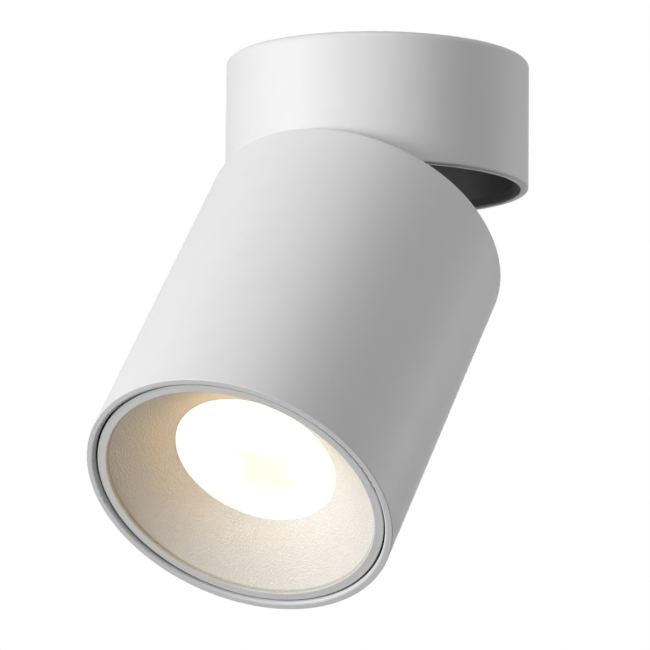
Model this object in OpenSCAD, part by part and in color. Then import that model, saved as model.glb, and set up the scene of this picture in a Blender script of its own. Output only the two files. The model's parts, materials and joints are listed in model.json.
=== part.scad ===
// Ceiling spotlight: a short round canopy and a cylindrical head of the same diameter.
// The head swivels under the canopy and tilts on a pin that sits near one side, so that the
// two tubes pass each other. Millimetres, +Z up. The origin is the middle of the ceiling face.
// The head is drawn at its rest tilt, with its light end turned towards +X.

/* [Tubes] */
// Outer diameter of the canopy and of the head
tube_d = 95; // [90:0.5:110]
// Wall of both tubes
tube_wall = 2.5; // [2:0.1:3]

/* [Canopy] */
// Height of the canopy below the ceiling
canopy_h = 40.7; // [38:0.1:60]
// Round of the canopy's upper outer edge
canopy_top_round = 2; // [0.5:0.1:2]
// Round of the canopy's lower outer edge
canopy_foot_round = 1; // [0.4:0.1:1.2]
// Round of the canopy's lower inner edge
canopy_lip_round = 0.4; // [0.2:0.1:0.6]
// Height from the canopy's lower edge up to the ledge that carries the swivel
hinge_room = 21.7; // [21.2:0.1:24]
// Width of the inner ledge
ledge_w = 6.5; // [6:0.1:8]
// Thickness of the inner ledge
ledge_t = 2.5; // [2:0.1:3]

/* [Ceiling plate] */
// Thickness of the sheet
plate_t = 2; // [1.5:0.1:2.5]
// Drop of the plate's rim below the ceiling
dish_drop = 3; // [2.5:0.1:4]
// Distance between the two slots for the ceiling screws
slot_spacing = 44; // [40:1:46]
// Width of each slot
slot_w = 5; // [4:0.1:5.5]
// Length of each slot from end to end
slot_l = 14; // [10:0.5:15]
// Diameter of the hole for the mains cable
cable_hole_d = 14; // [12:0.5:16]

/* [Swivel] */
// Thickness of the plate that carries the swivel
carrier_t = 2; // [1.5:0.1:2.5]
// Outer diameter of the hollow stem
stem_d = 14; // [12:0.5:16]
// Wall of the hollow stem
stem_wall = 2.5; // [2:0.1:3]
// Thickness of the turntable's disc
turn_t = 2.5; // [2:0.1:3]
// Wall of the turntable's skirt
skirt_wall = 1.4; // [1:0.1:2]

/* [Hinge] */
// Shadow gap between canopy and head when the head hangs straight
shadow_gap = 5; // [4.5:0.1:6]
// Distance from the tubes' outer face in to the hinge pin
pivot_inset = 20.5; // [20:0.1:21.5]
// Height of the hinge pin above the canopy's lower edge
pivot_rise = 7.9; // [7.6:0.1:8.2]
// Tilt of the head at rest, as photographed
aim_tilt = 39; // [0:1:55]
// Largest tilt, where the yoke's heel meets the turntable
max_tilt = 55; // [45:1:56]
// Diameter of the hinge pin
pin_d = 5; // [4:0.1:6]
// Radius of the round ends of arms and cheeks
eye_r = 6; // [5:0.1:6.5]
// Thickness of the bent sheet of bracket and yoke
sheet_t = 2.5; // [2:0.1:3]
// Inner width between the bracket's two cheeks
cheek_inner = 16.8; // [14:0.2:20]

/* [Head] */
// Length of the head's tube
head_l = 111.7; // [102:0.1:140]
// Round of the tube's upper outer edge
head_top_round = 1.5; // [0.5:0.1:1.6]
// Round of the tube's upper inner edge
head_lip_round = 0.6; // [0.3:0.1:0.8]
// Round of the tube's outer front edge
head_front_round = 0.25; // [0.1:0.05:0.5]
// Round of the tube's inner front edge, round the ring
head_mouth_round = 0.9; // [0.3:0.1:1.5]
// Depth of the open recess at the head's upper end
recess_depth = 12; // [11:0.1:16]
// Thickness of the cover at the bottom of that recess
cover_t = 2.5; // [2:0.1:3]

/* [Optics] */
// Depth of the front ring's face inside the tube
ring_recess = 0.9; // [0.5:0.1:2]
// Width of the front ring's face
ring_w = 2.8; // [2.5:0.1:4]
// Diameter of the lit disc that shows
lens_d = 50; // [44:1:54]
// Depth of the lens behind the front edge
lens_depth = 15.8; // [13:0.1:18]
// Thickness of the lens
lens_t = 2.5; // [2:0.1:3]
// Wall of the white cone
cone_wall = 1.6; // [1.2:0.1:2]
// Wall of the mirror funnel behind the lens
funnel_wall = 1.2; // [1:0.1:1.6]

/* [Light engine] */
// Depth of the heat sink's mounting face behind the front edge
sink_depth = 44; // [42:0.5:50]
// Thickness of the heat sink's base
sink_base = 6; // [4:0.5:8]
// Thickness of one fin
fin_t = 2; // [1.5:0.1:2.5]
// Distance from fin to fin
fin_pitch = 7.5; // [6:0.1:9]
// Diameter of the round light-emitting board
board_d = 28; // [24:1:30]
// Length of the driver's case
driver_l = 60; // [50:1:61]
// Width of the driver's case
driver_w = 38; // [30:1:40]
// Height of the driver's case without its lid
driver_h = 16; // [14:0.5:18]

/* [Hidden] */
$fn = 96;

coat = "#e4e4e4";
black = "#2b2b2d";
steel = "#b8babd";
brass = "#c9a24b";
alloy = "#a9acb0";
nylon = "#f0efe9";
rubber = "#3a3a3c";
silicone = "#9fb3c4";
board_green = "#3f6b4a";
phosphor = "#f2e6b8";
lit = "#fff3d6";

// Play between loose discs and the tubes that hold them
loose = 0.3;
// Play of a turning fit, and of a screw in its thread
run = 0.05;
// Play of a piece that is pushed over or into another
push = 0.1;
// Overshoot of a cut past the face that it opens
cut = 1;
// Overlap of two drawn shapes of one piece, where they join
join = 1;

tube_r = tube_d / 2;
bore_r = tube_r - tube_wall;

// Heights in the canopy, from the ceiling down
ledge_z = hinge_room - canopy_h;
carrier_top = ledge_z + carrier_t;
ledge_low = ledge_z - ledge_t;
bush_flange = 1;
turn_play = 0.7;
turn_top = ledge_low - turn_play;
turn_low = turn_top - turn_t;
bracket_low = turn_low - sheet_t;
pivot_x = tube_r - pivot_inset;
pivot_z = pivot_rise - canopy_h;

// Ceiling plate, with the hooks of the shell that turn in over its rim
rim_w = 12;
plate_gap = 0.6;
plate_r = bore_r - plate_gap;
dish_r = bore_r - rim_w;
rim_top = -dish_drop;
hook_w = 12;
hook_reach = 2.8;
hook_play = 0.6;
hook_in = bore_r - hook_reach;
hook_angles = [90, 210, 330];
hook_turn = 28;
lock_angle = 208;
lock_r = 1.5;
lock_inset = 0.4;
lock_socket_r = 0.85;
lock_socket_l = 1.2;
bush_sleeve = 1.5;
bush_lip_w = 2.6;
bush_lip_t = 1.2;

// Small screws of two thread sizes: radius in the thread, through hole, head
m3_r = 1.25;
m3_clear = 1.6;
m3_head_r = 2.8;
m3_head_h = 2;
m3_sunk = 0.3;
m4_r = 1.7;
m4_clear = 2.2;
m4_head_r = 3.5;
m4_head_h = 2.2;
screw_angles = [60, 180, 300];
sink_angles = [0, 120, 240];
screw_edge = 3.5;
canopy_screw_r = bore_r - screw_edge;

// Terminal block on the ceiling plate
block_l = 28;
block_w = 16;
block_h = 7;
block_y = -18;
barrel_r = 2.6;
barrel_wall = 0.7;
barrel_h = 3;
wire_hole_r = 1.7;
clamp_h = 2.4;
clamp_slot_w = 0.6;
clamp_slot_h = 0.8;
pole_pitch = 9;
earth_y = 21;

// Swivel
stem_r = stem_d / 2;
stem_spare = 1.3;
bush_wall = 2;
washer_reach = 6;
washer_r = stem_r + washer_reach;
washer_t = 1;
spring_h = 1.2;
spring_t = 0.6;
spring_inset = 1;
spring_r = washer_r - spring_inset;
stem_nut_h = 4;
stem_nut_reach = 4.5;
stem_nut_r = stem_r + stem_nut_reach;
stem_top = carrier_top + washer_t + spring_h + stem_nut_h + stem_spare;
stem_head_reach = 4;
stem_head_r = stem_r + stem_head_reach;
stem_head_h = 2.5;
boss_reach = 9;
boss_r = stem_r + boss_reach;
skirt_gap = 0.4;
skirt_r = bore_r - skirt_gap;
skirt_lift = 0.7;
skirt_bevel = 2;
skirt_edge = 0.3;
notch_w = 38;
stop_r = 23;
stop_pin_r = 1;
stop_pin_lift = 0.4;
stop_pin_proud = 0.5;
stop_tooth_w = 1.6;
stop_tooth_l = 4;
stop_tooth_h = 1.9;

// Hinge
pin_r = pin_d / 2;
cheek_in = cheek_inner / 2;
cheek_out = cheek_in + sheet_t;
friction_t = 0.7;
arm_in = cheek_out + friction_t + 2 * run;
arm_out = arm_in + sheet_t;
bracket_l = 24;
bracket_screw_x = 7.5;
arm_edge = 1;
arm_back = 12;
arm_step = 6;
arm_neck = 2;
arm_throat = 4;
arm_lean = 30;
heel_play = 0.2;
heel_h = turn_low - pivot_z - heel_play;
heel_x = 3;
yoke_back = 20;
yoke_screw_x = 15;
yoke_screw_y = 7;
bolt_head_r = 4.5;
bolt_head_h = 3;
bolt_socket_r = 2;
bolt_socket_l = 1.8;
disc_r = 5;
disc_t = 0.5;
disc_h = 0.8;
friction_r = disc_r + 0.5;
nut_r = 4.6;
nut_h = 4;
bolt_spare = 1;
bolt_end = arm_out + 2 * disc_h + nut_h + bolt_spare;

// Depths in the head, from its front edge back to its upper rim
pivot_l = head_l + shadow_gap + pivot_rise;
cover_top = head_l - recess_depth;
cover_low = cover_top - cover_t;
lug_reach = 7.5;
lug_in = bore_r - lug_reach;
lug_w = 10;
lug_h = 6.7;
sink_lug_h = 8;
lug_screw_edge = 3.8;
head_screw_r = bore_r - lug_screw_edge;
cover_screw_bite = 5;
sink_screw_bite = 6;
sink_top = sink_depth + sink_base;
gland_x = -6;
gland_r = 6;
gland_bore_r = 3.2;
gland_head_r = 8;
gland_head_h = 4;
gland_nose_h = 3;
gland_nose_in = 1.5;
gland_spare = 1;
gland_nut_h = 4;

// Driver, on two posts of the heat sink
driver_lid_t = 2;
driver_wall = 1.5;
driver_floor = 2.5;
driver_room = 3.2;
driver_top = cover_low - gland_nut_h - driver_room;
driver_low = driver_top - driver_lid_t - driver_h;
lid_plug_h = 1;
circuit_t = 1.6;
circuit_play = 1;
transformer = [16, 16, 11];
capacitor_r = 5;
capacitor_h = 10.5;
choke_r = 4.5;
choke_h = 8;
end_inset = 10;
post_r = 4;
post_edge = 8.5;
post_y = bore_r - post_edge;
post_thread = 8;
ear_r = post_r + 0.5;
ear_t = 2.5;
ear_screw_bite = 6;

// Heat sink
fin_reach = lug_in - 0.5;
pass_play = 0.5;
fin_count = floor(fin_reach / fin_pitch - 0.2);

// Front of the head
ring_gap = 0.6;
ring_r = bore_r - ring_gap;
ring_inner = ring_r - ring_w;
ring_face_t = 0.8;
ring_lip = 0.6;
ring_skirt_l = 7.3;
ring_skirt_in = ring_inner + ring_lip;
ring_round = 0.3;
seal_r = 0.95;
seal_ring_r = bore_r - run - seal_r;
seal_depth = 5;
seal_z = ring_recess + seal_depth;
groove_w = 2 * (seal_r + push);
cone_front = ring_recess + ring_face_t + push;
lens_r = lens_d / 2;
lens_edge = 2;
lens_play = 0.15;
seat_lip = 0.4;
lens_back = lens_depth + lens_t;
gasket_t = 1;
gasket_inset = 0.4;
funnel_z = lens_back + gasket_t;
funnel_flange = 1.2;
funnel_flange_r = lens_r + lens_edge;
cone_boss_z = funnel_z + funnel_flange + 0.6;

// Light source
pad_t = 0.5;
pad_inset = 1;
board_t = 1.6;
board_r = board_d / 2;
board_play = 0.2;
emitter_r = 6;
emitter_t = 0.5;
board_front = sink_depth - pad_t - board_t;
holder_t = 3.9;
holder_rim = 8;
holder_r = board_r + holder_rim;
holder_front = board_front - holder_t;
mouth_reach = 4.5;
holder_mouth = emitter_r + mouth_reach;
holder_flare = 2.5;
holder_flare_h = 3;
holder_screw_r = board_r + holder_rim / 2;
holder_screw_bite = 3.6;
holder_thread = 4;

// Flat ring from radius a to radius b, from height z0 up to z1
module ring(a, b, z0, z1) {
    difference() {
        translate([0, 0, z0]) cylinder(r = b, h = z1 - z0);
        hole(a, z0, z1);
    }
}

// Round cut of radius r, open past both faces z0 and z1
module hole(r, z0, z1) {
    translate([0, 0, z0 - cut]) cylinder(r = r, h = z1 - z0 + 2 * cut);
}

// What lies outside a quarter round of radius r at the corner x, y; sx and sy point out of the corner
module corner(x, y, r, sx, sy) {
    over = 0.01;
    difference() {
        translate([sx > 0 ? x - r : x - over, sy > 0 ? y - r : y - over]) square(r + over);
        translate([x - sx * r, y - sy * r]) circle(r);
    }
}

// Straight slot along X, open from z0 to z1
module slot(l, w, z0, z1) {
    for (side = [-1, 1]) translate([side * (l - w) / 2, 0, z0]) cylinder(d = w, h = z1 - z0);
    translate([-(l - w) / 2, -w / 2, z0]) cube([l - w, w, z1 - z0]);
}

// Outline in X and Z drawn as X and Y, given thickness from y0 to y1
module upright(y0, y1) {
    translate([0, y1, 0]) rotate([90, 0, 0]) linear_extrude(y1 - y0) children();
}

// Screw that points down, with its head's seat at z = 0 and a hexagon socket
module screw(shank_r, shank_l, head_r, head_h) {
    chamfer = head_h / 4;
    difference() {
        union() {
            translate([0, 0, -shank_l]) cylinder(r = shank_r, h = shank_l + head_h / 2);
            cylinder(r = head_r, h = head_h - chamfer);
            translate([0, 0, head_h - chamfer]) cylinder(r1 = head_r, r2 = head_r - chamfer, h = chamfer);
        }
        translate([0, 0, head_h * 0.4]) cylinder(r = shank_r * 0.9, h = head_h, $fn = 6);
    }
}

// Hexagon nut from z = 0 up
module nut(outer_r, bore, h) {
    difference() {
        intersection() {
            cylinder(r = outer_r, h = h, $fn = 6);
            translate([0, 0, h / 2]) sphere(r = outer_r * 1.02);
        }
        hole(bore, 0, h);
    }
}

// Dished spring washer, its wide edge at z = 0
module disc_spring(a, b, t, h) {
    rotate_extrude() polygon([[a, h - t], [b, 0], [b, t], [a, h]]);
}

// The same shape at each of the angles, at radius r
module around(angles, r) {
    for (a = angles) rotate([0, 0, a]) translate([r, 0, 0]) children();
}

// Notches through a disc that has to pass inner blocks of width w, which reach in to radius r
module pass_notches(angles, r, w, z0, z1) {
    around(angles, r - pass_play) translate([0, -w / 2 - pass_play, z0 - cut])
        cube([tube_wall + bore_r - r + pass_play, w + 2 * pass_play, z1 - z0 + 2 * cut]);
}

// Pieces of the head are drawn from its front edge back, and hung at the rest tilt
module on_head() {
    translate([pivot_x, 0, pivot_z]) rotate([0, -aim_tilt, 0])
        translate([-pivot_x, 0, -pivot_l]) children();
}

// What lies on the hinge pin is drawn along +Z and turned so that +Z becomes +Y
module on_pin() {
    on_head() translate([pivot_x, 0, pivot_l]) rotate([-90, 0, 0]) children();
}

// Sheet plate that is dished round its rim, so that the shell's hooks find room above the rim
module ceiling_plate() {
    lean = plate_t * (sqrt(2) - 1);
    low = rim_top - plate_t;
    color(steel) difference() {
        rotate_extrude() polygon([[0, 0], [dish_r, 0], [dish_r + dish_drop, rim_top], [plate_r, rim_top],
            [plate_r, low], [dish_r + dish_drop - lean, low], [dish_r - lean, -plate_t], [0, -plate_t]]);
        for (side = [-1, 1]) translate([side * slot_spacing / 2, 0, 0])
            slot(slot_l, slot_w, -plate_t - cut, cut);
        hole(cable_hole_d / 2, -plate_t, 0);
        translate([0, earth_y, 0]) hole(m4_r + run, -plate_t, 0);
        pass_notches([for (a = hook_angles) a + hook_turn], hook_in, hook_w, low, rim_top);
    }
}

// Snap bush that lines the cable hole, with its flange below the plate
module cable_bush() {
    sleeve_r = cable_hole_d / 2 - push;
    color(rubber) union() {
        ring(sleeve_r - bush_sleeve, sleeve_r, -plate_t, -2 * push);
        ring(sleeve_r - bush_sleeve, sleeve_r + bush_lip_w, -plate_t - bush_lip_t, -plate_t);
    }
}

module earth_screw() {
    color(brass) translate([0, earth_y, -plate_t]) mirror([0, 0, 1])
        screw(m4_r, plate_t - 2 * push, m4_head_r, m4_head_h);
}

// Places of the clamp barrels, two for each of the three poles
module at_barrels(z) {
    for (i = [-1:1], j = [-1, 1]) translate([i * pole_pitch, block_y + j * block_w / 4, z]) children();
}

module terminal_block() {
    low = -plate_t - block_h;
    color(nylon) difference() {
        union() {
            translate([-block_l / 2, block_y - block_w / 2, low]) cube([block_l, block_w, block_h]);
            at_barrels(low - barrel_h) cylinder(r = barrel_r, h = barrel_h + join);
        }
        at_barrels(low - barrel_h - cut) cylinder(r = barrel_r - barrel_wall, h = barrel_h + cut);
        for (i = [-1:1]) translate([i * pole_pitch, block_y - block_w / 2 - cut, low + block_h / 2])
            rotate([-90, 0, 0]) cylinder(r = wire_hole_r, h = block_w + 2 * cut);
    }
}

module terminal_screws() {
    screw_r = barrel_r - barrel_wall - push;
    color(brass) at_barrels(-plate_t - block_h - clamp_h) difference() {
        cylinder(r = screw_r, h = clamp_h);
        translate([-screw_r - cut, -clamp_slot_w / 2, -cut])
            cube([2 * (screw_r + cut), clamp_slot_w, clamp_slot_h + cut]);
    }
}

module canopy_section() {
    difference() {
        union() {
            translate([bore_r, -canopy_h]) square([tube_wall, canopy_h]);
            translate([bore_r - ledge_w, ledge_low]) square([ledge_w + tube_wall / 2, ledge_t]);
        }
        corner(tube_r, 0, canopy_top_round, 1, 1);
        corner(tube_r, -canopy_h, canopy_foot_round, 1, -1);
        corner(bore_r, -canopy_h, canopy_lip_round, -1, -1);
    }
}

// White shell with the hooks that hang it on the ceiling plate and the ledge for the swivel
module canopy_shell() {
    color(coat) difference() {
        union() {
            rotate_extrude() canopy_section();
            around(hook_angles, hook_in) translate([0, -hook_w / 2, rim_top + run])
                cube([hook_reach + tube_wall / 2, hook_w, dish_drop - run - hook_play]);
        }
        around(screw_angles, canopy_screw_r) hole(m3_r + run, ledge_low, ledge_z);
        rotate([0, 0, lock_angle]) translate([bore_r, 0, rim_top - plate_t / 2]) rotate([0, 90, 0])
            hole(lock_r + run, 0, tube_wall);
    }
}

// Grub screw that locks the canopy against the edge of the ceiling plate
module lock_screw() {
    length = tube_r - lock_inset - plate_r - run;
    color(steel) rotate([0, 0, lock_angle]) translate([plate_r + run, 0, rim_top - plate_t / 2])
        rotate([0, 90, 0]) difference() {
            cylinder(r = lock_r, h = length);
            translate([0, 0, length - lock_socket_l])
                cylinder(r = lock_socket_r, h = lock_socket_l + cut, $fn = 6);
        }
}

module carrier_plate() {
    color(steel) difference() {
        translate([0, 0, ledge_z]) cylinder(r = bore_r - loose, h = carrier_t);
        hole(stem_r + run + bush_wall + run, ledge_z, carrier_top);
        pass_notches(hook_angles, hook_in, hook_w, ledge_z, carrier_top);
        translate([stop_r, 0, 0]) hole(stop_pin_r + run, ledge_z, carrier_top);
        around(screw_angles, canopy_screw_r) hole(m3_clear, ledge_z, carrier_top);
    }
}

module carrier_screws() {
    color(steel) around(screw_angles, canopy_screw_r) translate([0, 0, carrier_top])
        screw(m3_r, carrier_t + ledge_t, m3_head_r, m3_head_h);
}

// Flanged bearing bush of the swivel; the flange below the carrier is also its thrust face
module swivel_bush() {
    color(nylon) union() {
        ring(stem_r + run, stem_r + run + bush_wall, ledge_z - bush_flange, carrier_top);
        ring(stem_r + run, washer_r, ledge_z - bush_flange, ledge_z);
    }
}

module glide_washer() {
    color(nylon) ring(stem_r + run, washer_r, carrier_top, carrier_top + washer_t);
}

// Pin in the carrier that stops the turntable's tooth before the wires wind up
module stop_pin() {
    low = turn_top + stop_pin_lift;
    color(steel) translate([stop_r, 0, low]) cylinder(r = stop_pin_r, h = carrier_top + stop_pin_proud - low);
}

// Wall of the turntable's skirt, bevelled on the inside to a thin lower edge
module skirt_section(low) {
    inner = skirt_r - skirt_wall;
    top = turn_low + turn_t / 2;
    polygon([[skirt_r, low], [skirt_r, top], [inner, top], [inner, low + skirt_bevel],
        [skirt_r - skirt_edge, low]]);
}

// Black cup that turns in the canopy, with a notch in its skirt for the head's rim
module turntable_cup() {
    boss_top = ledge_z - bush_flange - run;
    skirt_low = skirt_lift - canopy_h;
    color(black) difference() {
        union() {
            translate([0, 0, turn_low]) cylinder(r = skirt_r, h = turn_t);
            translate([0, 0, turn_low]) cylinder(r = boss_r, h = boss_top - turn_low);
            rotate_extrude() skirt_section(skirt_low);
            translate([-stop_r - stop_tooth_l / 2, -stop_tooth_w / 2, turn_low])
                cube([stop_tooth_l, stop_tooth_w, turn_t + stop_tooth_h]);
        }
        hole(stem_r + run, turn_low, boss_top);
        translate([pivot_x - eye_r, -notch_w / 2, skirt_low - cut])
            cube([tube_r, notch_w, turn_low - skirt_low + cut]);
        for (side = [-1, 1]) translate([pivot_x + side * bracket_screw_x, 0, 0])
            hole(m4_r + run, turn_low, turn_top);
    }
}

// Hollow threaded stem: its head holds the turntable, and the wires run through it
module swivel_stem() {
    color(steel) union() {
        ring(stem_r - stem_wall, stem_r, turn_low - stem_head_h, stem_top);
        ring(stem_r - stem_wall, stem_head_r, turn_low - stem_head_h, turn_low);
    }
}

module swivel_spring() {
    color(steel) translate([0, 0, carrier_top + washer_t])
        disc_spring(stem_r + push, spring_r, spring_t, spring_h);
}

module swivel_nut() {
    color(steel) translate([0, 0, carrier_top + washer_t + spring_h])
        nut(stem_nut_r, stem_r + run, stem_nut_h);
}

// Bent sheet under the turntable, with one cheek on each side for the hinge pin
module hinge_bracket() {
    color(black) difference() {
        union() {
            translate([pivot_x - bracket_l / 2, -cheek_out, bracket_low])
                cube([bracket_l, 2 * cheek_out, sheet_t]);
            for (y = [-cheek_out, cheek_in]) upright(y, y + sheet_t) {
                translate([pivot_x, pivot_z]) circle(eye_r);
                translate([pivot_x - eye_r, pivot_z]) square([2 * eye_r, turn_low - pivot_z]);
            }
        }
        upright(-cheek_out - cut, cheek_out + cut) translate([pivot_x, pivot_z]) circle(pin_r + run);
        for (side = [-1, 1]) translate([pivot_x + side * bracket_screw_x, 0, 0])
            hole(m4_clear, bracket_low, turn_low);
    }
}

module bracket_screws() {
    color(steel) for (side = [-1, 1]) translate([pivot_x + side * bracket_screw_x, 0, bracket_low])
        mirror([0, 0, 1]) screw(m4_r, sheet_t + turn_t - loose, m4_head_r, m4_head_h);
}

// Outline of one arm of the yoke, in X and depth. Its left heel stops the head when it hangs straight,
// and its right heel, which is turned back here by the largest tilt, stops it at that tilt.
module arm_outline() {
    drop = pivot_l - cover_top;
    stop_heel = [heel_x * cos(max_tilt) + heel_h * sin(max_tilt),
        heel_h * cos(max_tilt) - heel_x * sin(max_tilt)];
    translate([pivot_x, pivot_l]) union() {
        circle(eye_r);
        polygon([[-eye_r, 0], [-eye_r, heel_h], [0, heel_h], stop_heel,
            [eye_r * cos(arm_lean), -eye_r * sin(arm_lean)], [arm_edge, -eye_r - arm_throat],
            [arm_edge, -drop], [-arm_back, -drop], [-arm_back, arm_step - drop],
            [-eye_r, -eye_r - arm_neck]]);
    }
}

// Bent sheet on the head's rear cover, with one arm outside each cheek of the bracket
module head_yoke() {
    color(black) on_head() difference() {
        union() {
            translate([pivot_x - yoke_back, -arm_out, cover_top])
                cube([yoke_back + arm_edge, 2 * arm_out, sheet_t]);
            for (y = [-arm_out, arm_in]) upright(y, y + sheet_t) arm_outline();
        }
        upright(-arm_out - cut, arm_out + cut) translate([pivot_x, pivot_l]) circle(pin_r + run);
        at_yoke_screws() hole(m4_clear, cover_top, cover_top + sheet_t);
    }
}

module at_yoke_screws() {
    for (side = [-1, 1]) translate([pivot_x - yoke_screw_x, side * yoke_screw_y, 0]) children();
}

module yoke_screws() {
    color(steel) on_head() at_yoke_screws() translate([0, 0, cover_top + sheet_t])
        screw(m4_r, sheet_t + cover_t, m4_head_r, m4_head_h);
}

module hinge_bolt() {
    head_end = -arm_out - bolt_head_h;
    color(steel) on_pin() difference() {
        union() {
            translate([0, 0, -arm_out]) cylinder(r = pin_r, h = arm_out + bolt_end);
            translate([0, 0, head_end]) cylinder(r = bolt_head_r, h = bolt_head_h);
        }
        translate([0, 0, head_end - cut]) cylinder(r = bolt_socket_r, h = bolt_socket_l + cut, $fn = 6);
    }
}

module friction_washers() {
    face = cheek_out + run;
    color(rubber) on_pin() {
        ring(pin_r + run, friction_r, face, face + friction_t);
        ring(pin_r + run, friction_r, -face - friction_t, -face);
    }
}

// Two dished springs under the nut, set edge to edge
module hinge_springs() {
    color(steel) on_pin() {
        translate([0, 0, arm_out + disc_h]) mirror([0, 0, 1])
            disc_spring(pin_r + push, disc_r, disc_t, disc_h);
        translate([0, 0, arm_out + disc_h + run]) disc_spring(pin_r + push, disc_r, disc_t, disc_h);
    }
}

module hinge_nut() {
    color(steel) on_pin() translate([0, 0, arm_out + 2 * disc_h + 2 * run]) nut(nut_r, pin_r + run, nut_h);
}

module head_section() {
    difference() {
        translate([bore_r, 0]) square([tube_wall, head_l]);
        corner(tube_r, head_l, head_top_round, 1, 1);
        corner(bore_r, head_l, head_lip_round, -1, 1);
        corner(tube_r, 0, head_front_round, 1, -1);
        corner(bore_r, 0, head_mouth_round, -1, -1);
    }
}

// Block on the inside of the head's tube that takes one screw
module lug(top, h) {
    translate([lug_in - head_screw_r, -lug_w / 2, top - h]) cube([lug_reach + tube_wall / 2, lug_w, h]);
}

// White tube with the lugs for the rear cover and for the heat sink
module head_tube() {
    color(coat) on_head() difference() {
        union() {
            rotate_extrude() head_section();
            around(screw_angles, head_screw_r) lug(cover_low, lug_h);
            around(sink_angles, head_screw_r) lug(sink_depth, sink_lug_h);
        }
        around(screw_angles, head_screw_r) hole(m3_r + run, cover_low - lug_h, cover_low);
        around(sink_angles, head_screw_r) hole(m3_r + run, sink_depth - sink_lug_h, sink_depth);
    }
}

module rear_cover() {
    color(black) on_head() difference() {
        translate([0, 0, cover_low]) cylinder(r = bore_r - loose, h = cover_t);
        around(screw_angles, head_screw_r) hole(m3_clear, cover_low, cover_top);
        translate([gland_x, 0, 0]) hole(gland_r + push, cover_low, cover_top);
        at_yoke_screws() hole(m4_r + run, cover_low, cover_top);
    }
}

module cover_screws() {
    color(steel) on_head() around(screw_angles, head_screw_r) translate([0, 0, cover_top])
        screw(m3_r, cover_t + cover_screw_bite, m3_head_r, m3_head_h);
}

// Gland that takes the wires from the swivel's stem into the head
module cable_gland() {
    low = cover_low - gland_nut_h - gland_spare;
    head_top = cover_top + gland_head_h;
    color(rubber) on_head() translate([gland_x, 0, 0]) difference() {
        union() {
            translate([0, 0, cover_top]) cylinder(r = gland_head_r, h = gland_head_h, $fn = 6);
            translate([0, 0, head_top])
                cylinder(r1 = gland_r, r2 = gland_r - gland_nose_in, h = gland_nose_h);
            translate([0, 0, low]) cylinder(r = gland_r, h = cover_top + join - low);
        }
        hole(gland_bore_r, low, head_top + gland_nose_h);
    }
}

module gland_nut() {
    color(rubber) on_head() translate([gland_x, 0, cover_low - gland_nut_h])
        nut(gland_head_r, gland_r + run, gland_nut_h);
}

// Places of the two posts, one on each side
module at_posts(z) {
    for (side = [-1, 1]) translate([0, side * post_y, z]) children();
}

module driver_case() {
    color(nylon) on_head() difference() {
        union() {
            translate([-driver_w / 2, -driver_l / 2, driver_low]) cube([driver_w, driver_l, driver_h]);
            at_posts(driver_low) cylinder(r = ear_r, h = ear_t);
            translate([-ear_r, -post_y, driver_low]) cube([2 * ear_r, 2 * post_y, ear_t]);
        }
        translate([driver_wall - driver_w / 2, driver_wall - driver_l / 2, driver_low + driver_floor])
            cube([driver_w - 2 * driver_wall, driver_l - 2 * driver_wall, driver_h]);
        at_posts(0) hole(m3_clear, driver_low, driver_low + ear_t);
    }
}

// Circuit board of the driver with its transformer, capacitor and choke
module driver_board() {
    w = driver_w - 2 * (driver_wall + circuit_play);
    l = driver_l - 2 * (driver_wall + circuit_play);
    mid = circuit_t / 2;
    color(board_green) on_head() translate([0, 0, driver_low + driver_floor]) {
        translate([-w / 2, -l / 2, 0]) cube([w, l, circuit_t]);
        translate([-transformer.x / 2, -transformer.y / 2, mid]) cube(transformer);
        translate([0, driver_l / 2 - end_inset, mid]) cylinder(r = capacitor_r, h = capacitor_h);
        translate([0, end_inset - driver_l / 2, mid]) cylinder(r = choke_r, h = choke_h);
    }
}

// Flat lid with a plug that fits into the case
module driver_lid() {
    w = driver_w - 2 * (driver_wall + loose);
    l = driver_l - 2 * (driver_wall + loose);
    seat = driver_low + driver_h;
    color(nylon) on_head() union() {
        translate([-driver_w / 2, -driver_l / 2, seat]) cube([driver_w, driver_l, driver_lid_t]);
        translate([-w / 2, -l / 2, seat - lid_plug_h]) cube([w, l, lid_plug_h + driver_lid_t / 2]);
    }
}

module driver_screws() {
    color(steel) on_head() at_posts(driver_low + ear_t)
        screw(m3_r, ear_t + ear_screw_bite, m3_head_r, m3_head_h);
}

// Round base with upright fins and the two posts for the driver
module heat_sink() {
    fin_low = sink_top - join;
    fin_h = driver_low - fin_low;
    color(alloy) on_head() difference() {
        union() {
            translate([0, 0, sink_depth]) cylinder(r = bore_r - loose, h = sink_base);
            intersection() {
                translate([0, 0, fin_low]) cylinder(r = fin_reach, h = fin_h);
                for (i = [-fin_count:fin_count]) translate([i * fin_pitch - fin_t / 2, -fin_reach, fin_low])
                    cube([fin_t, 2 * fin_reach, fin_h]);
            }
            at_posts(fin_low) cylinder(r = post_r, h = fin_h);
        }
        pass_notches(screw_angles, lug_in, lug_w, sink_depth, sink_top);
        around(sink_angles, head_screw_r) hole(m3_clear, sink_depth, sink_top);
        at_posts(driver_low - post_thread) cylinder(r = m3_r + run, h = post_thread + cut);
        at_holder_screws(sink_depth - cut) cylinder(r = m3_r + run, h = holder_thread + cut);
    }
}

module sink_screws() {
    color(steel) on_head() around(sink_angles, head_screw_r) translate([0, 0, sink_top])
        screw(m3_r, sink_base + sink_screw_bite, m3_head_r, m3_head_h);
}

module thermal_pad() {
    color(silicone) on_head() translate([0, 0, sink_depth - pad_t])
        cylinder(r = board_r - pad_inset, h = pad_t);
}

// Round board with its raised light-emitting patch
module led_board() {
    color(phosphor) on_head() translate([0, 0, board_front]) union() {
        cylinder(r = board_r, h = board_t);
        translate([0, 0, -emitter_t]) cylinder(r = emitter_r, h = emitter_t + board_t / 2);
    }
}

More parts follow.
